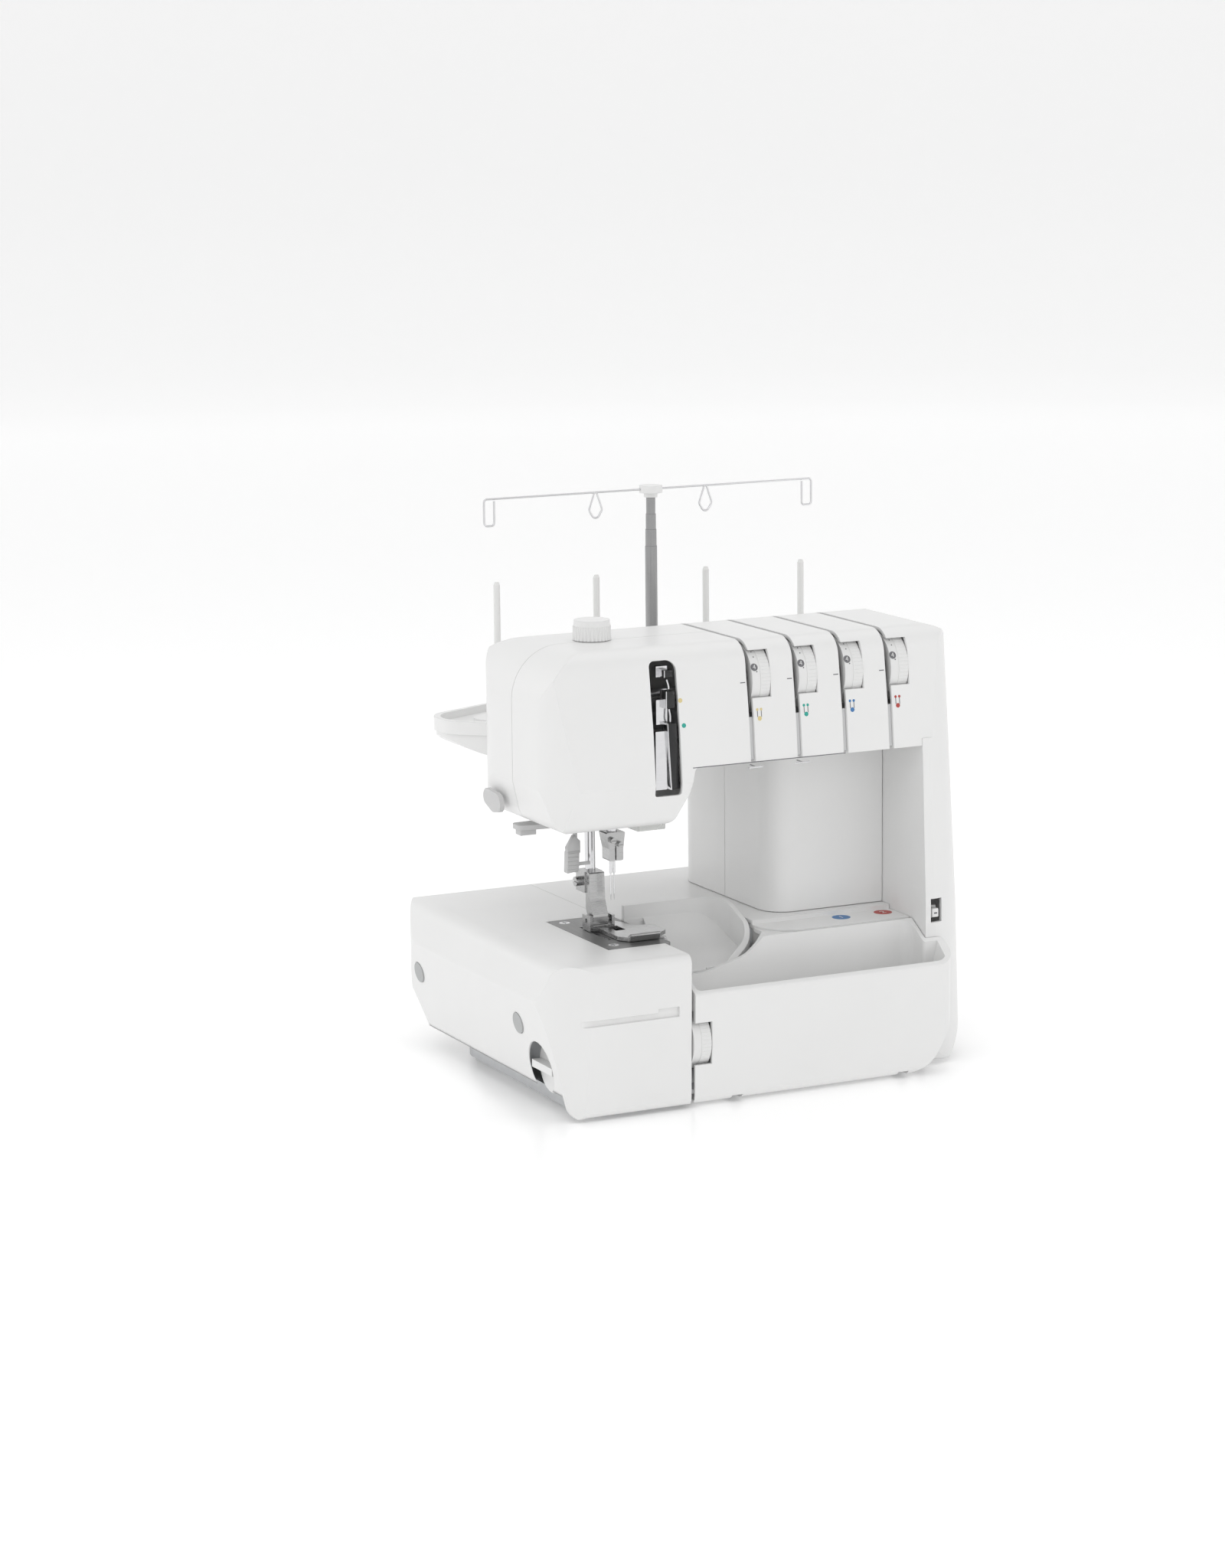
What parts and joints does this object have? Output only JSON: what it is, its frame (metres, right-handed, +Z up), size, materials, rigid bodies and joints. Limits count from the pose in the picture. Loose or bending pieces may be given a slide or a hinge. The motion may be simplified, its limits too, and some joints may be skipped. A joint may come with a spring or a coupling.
{
  "type": "serger overlock machine",
  "caption": "Household serger overlock machine with thread tension wheels, hinged looper cover and a thread stand.",
  "frame": {"origin": "centre of the bounding box at table height", "axes": "+X to the operator's right, +Y away from the operator, +Z up"},
  "size_m": [0.335, 0.2632, 0.3785],
  "materials": {
    "white_housing": "satin_moulded",
    "grey_liner": "fine_texture",
    "black_plastic": "satin",
    "dial_grey": "satin",
    "plate_steel": "brushed",
    "polished_steel": "polished",
    "foot_steel": "ground",
    "cast_alloy": "as_cast",
    "sheet_alloy": "sheet",
    "belt_rubber": "plain",
    "foot_rubber": "plain",
    "plug_rubber": "soft",
    "motor_black": "satin",
    "lens_clear": "frosted",
    "mast_metal": "satin",
    "socket_dark": "fine_texture",
    "spindle_grey": "satin"
  },
  "bodies": {
    "machine": {"base_pan": "sheet_alloy", "rubber_feet": "foot_rubber", "left_casing": "white_housing", "side_plugs": "plug_rubber", "bed_housing": "white_housing", "needle_plate": "plate_steel", "plate_screws": "polished_steel", "main_frame": "cast_alloy", "head_cover": "white_housing", "tension_plates": "white_housing", "right_cover": "white_housing", "rear_housing": "white_housing", "column_covers": "white_housing", "chip_shield": "white_housing", "cover_hinge_rod": "polished_steel", "motor": "motor_black", "drive_belts": "belt_rubber", "tension_discs": "black_plastic", "lower_knife": "foot_steel", "thread_guides": "polished_steel", "thread_cutter": "grey_liner", "spool_tray": "white_housing", "spool_pins": "spindle_grey", "mast_section_1": "mast_metal", "power_inlet": "socket_dark", "lamp_lens": "lens_clear"},
    "cover": {"front_cover": "white_housing"},
    "drive": {"hand_wheel": "white_housing", "main_shaft": "polished_steel"},
    "motor_spindle": {"motor_pulley": "polished_steel"},
    "arm_shaft": {"upper_shaft": "polished_steel"},
    "needle_drive": {"needle_bar": "polished_steel", "needle_clamp": "foot_steel", "needles": "polished_steel"},
    "take_up": {"take_up_lever": "polished_steel"},
    "presser": {"presser_bar": "polished_steel", "foot_ankle": "foot_steel"},
    "sole": {"foot_sole": "foot_steel"},
    "lifter": {"presser_lifter": "grey_liner"},
    "threader": {"needle_threader": "black_plastic"},
    "pressure": {"pressure_knob": "white_housing"},
    "dial_1": {"tension_dial_1": "dial_grey"},
    "dial_2": {"tension_dial_2": "dial_grey"},
    "dial_3": {"tension_dial_3": "dial_grey"},
    "dial_4": {"tension_dial_4": "dial_grey"},
    "width_dial": {"cutting_width_dial": "dial_grey"},
    "selector": {"selector_knob": "white_housing"},
    "slider": {"adjuster_slider": "black_plastic"},
    "looper_up": {"upper_looper": "polished_steel"},
    "looper_low": {"lower_looper": "polished_steel"},
    "knife": {"upper_knife": "foot_steel"},
    "feed_main": {"feed_dog_main": "foot_steel"},
    "feed_front": {"feed_dog_differential": "foot_steel"},
    "mast_2": {"mast_section_2": "mast_metal"},
    "mast_3": {"mast_section_3": "mast_metal"},
    "mast_4": {"mast_section_4": "mast_metal"},
    "antenna": {"antenna_hub": "white_housing", "antenna_wire": "polished_steel"},
    "switch": {"power_switch": "black_plastic"}
  },
  "joints": [
    {"name": "cover_hinge", "type": "hinge", "parent": "machine", "child": "cover", "pos_m": [0.02646, -0.11868, 0.012], "axis": [1, 0, 0], "range_deg": [0, 78]},
    {"name": "hand_wheel_turn", "type": "hinge", "parent": "machine", "child": "drive", "pos_m": [0.03046, 0.01931, 0.06], "axis": [1, 0, 0], "continuous": true},
    {"name": "motor_turn", "type": "hinge", "parent": "machine", "child": "motor_spindle", "pos_m": [0.07046, 0.08131, 0.04], "axis": [1, 0, 0], "continuous": true},
    {"name": "arm_shaft_turn", "type": "hinge", "parent": "machine", "child": "arm_shaft", "pos_m": [0.01046, -0.01269, 0.25], "axis": [1, 0, 0], "continuous": true},
    {"name": "needle_stroke", "type": "slide", "parent": "machine", "child": "needle_drive", "axis": [0, 0, 1], "range_m": [-0.027, 0]},
    {"name": "take_up_stroke", "type": "slide", "parent": "machine", "child": "take_up", "axis": [0, 0, 1], "range_m": [-0.0189, 0]},
    {"name": "presser_lift", "type": "slide", "parent": "machine", "child": "presser", "axis": [0, 0, 1], "range_m": [0, 0.006]},
    {"name": "sole_tilt", "type": "hinge", "parent": "presser", "child": "sole", "pos_m": [-0.08954, -0.03669, 0.109], "axis": [1, 0, 0], "range_deg": [-1.1, 0.2]},
    {"name": "lifter_swing", "type": "hinge", "parent": "machine", "child": "lifter", "pos_m": [-0.11154, -0.02568, 0.1746], "axis": [0, 1, 0], "range_deg": [0, 7]},
    {"name": "threader_drop", "type": "slide", "parent": "machine", "child": "threader", "axis": [0, 0, 1], "range_m": [-0.012, 0]},
    {"name": "pressure_turn", "type": "hinge", "parent": "machine", "child": "pressure", "pos_m": [-0.09354, -0.03868, 0.302], "axis": [0, 0, 1], "range_deg": [-135, 135]},
    {"name": "dial_1_turn", "type": "hinge", "parent": "machine", "child": "dial_1", "pos_m": [-0.00154, -0.07469, 0.2687], "axis": [1, 0, 0], "range_deg": [-120, 120]},
    {"name": "dial_2_turn", "type": "hinge", "parent": "machine", "child": "dial_2", "pos_m": [0.03276, -0.07469, 0.2687], "axis": [1, 0, 0], "range_deg": [-120, 120]},
    {"name": "dial_3_turn", "type": "hinge", "parent": "machine", "child": "dial_3", "pos_m": [0.06706, -0.07469, 0.2687], "axis": [1, 0, 0], "range_deg": [-120, 120]},
    {"name": "dial_4_turn", "type": "hinge", "parent": "machine", "child": "dial_4", "pos_m": [0.10136, -0.07469, 0.2687], "axis": [1, 0, 0], "range_deg": [-120, 120]},
    {"name": "width_dial_turn", "type": "hinge", "parent": "machine", "child": "width_dial", "pos_m": [-0.06254, -0.11209, 0.0425], "axis": [1, 0, 0], "range_deg": [-90, 90]},
    {"name": "selector_turn", "type": "hinge", "parent": "machine", "child": "selector", "pos_m": [-0.15354, -0.09269, 0.03], "axis": [1, 0, 0], "range_deg": [-60, 60]},
    {"name": "adjuster_slide", "type": "slide", "parent": "machine", "child": "slider", "axis": [0, 0, 1], "range_m": [-0.001, 0.004]},
    {"name": "upper_looper_swing", "type": "hinge", "parent": "machine", "child": "looper_up", "pos_m": [-0.05654, -0.04168, 0.042], "axis": [0, 1, 0], "range_deg": [-10, 14]},
    {"name": "lower_looper_swing", "type": "hinge", "parent": "machine", "child": "looper_low", "pos_m": [-0.03554, -0.05468, 0.036], "axis": [0, 1, 0], "range_deg": [-10, 14]},
    {"name": "knife_stroke", "type": "slide", "parent": "machine", "child": "knife", "axis": [0, 0, 1], "range_m": [-0.008, 0]},
    {"name": "feed_main_stroke", "type": "slide", "parent": "machine", "child": "feed_main", "axis": [0, 1, 0], "range_m": [-0.0008, 0.0008]},
    {"name": "feed_front_stroke", "type": "slide", "parent": "machine", "child": "feed_front", "axis": [0, 1, 0], "range_m": [-0.0008, 0.0008]},
    {"name": "mast_2_slide", "type": "slide", "parent": "machine", "child": "mast_2", "axis": [0, 0, 1], "range_m": [0, 0.07]},
    {"name": "mast_3_slide", "type": "slide", "parent": "mast_2", "child": "mast_3", "axis": [0, 0, 1], "range_m": [0, 0.07]},
    {"name": "mast_4_slide", "type": "slide", "parent": "mast_3", "child": "mast_4", "axis": [0, 0, 1], "range_m": [0, 0.07]},
    {"name": "antenna_turn", "type": "hinge", "parent": "mast_4", "child": "antenna", "pos_m": [0.00796, 0.07731, 0.376], "axis": [0, 0, 1], "range_deg": [-90, 90]},
    {"name": "switch_rock", "type": "hinge", "parent": "machine", "child": "switch", "pos_m": [0.15466, 0.07931, 0.062], "axis": [0, 1, 0], "range_deg": [-9, 9]}
  ],
  "couplings": [
    {"joint": "motor_turn", "follows": "hand_wheel_turn", "ratio": 4},
    {"joint": "arm_shaft_turn", "follows": "hand_wheel_turn", "ratio": 1},
    {"joint": "take_up_stroke", "follows": "needle_stroke", "ratio": 0.7}
  ]
}
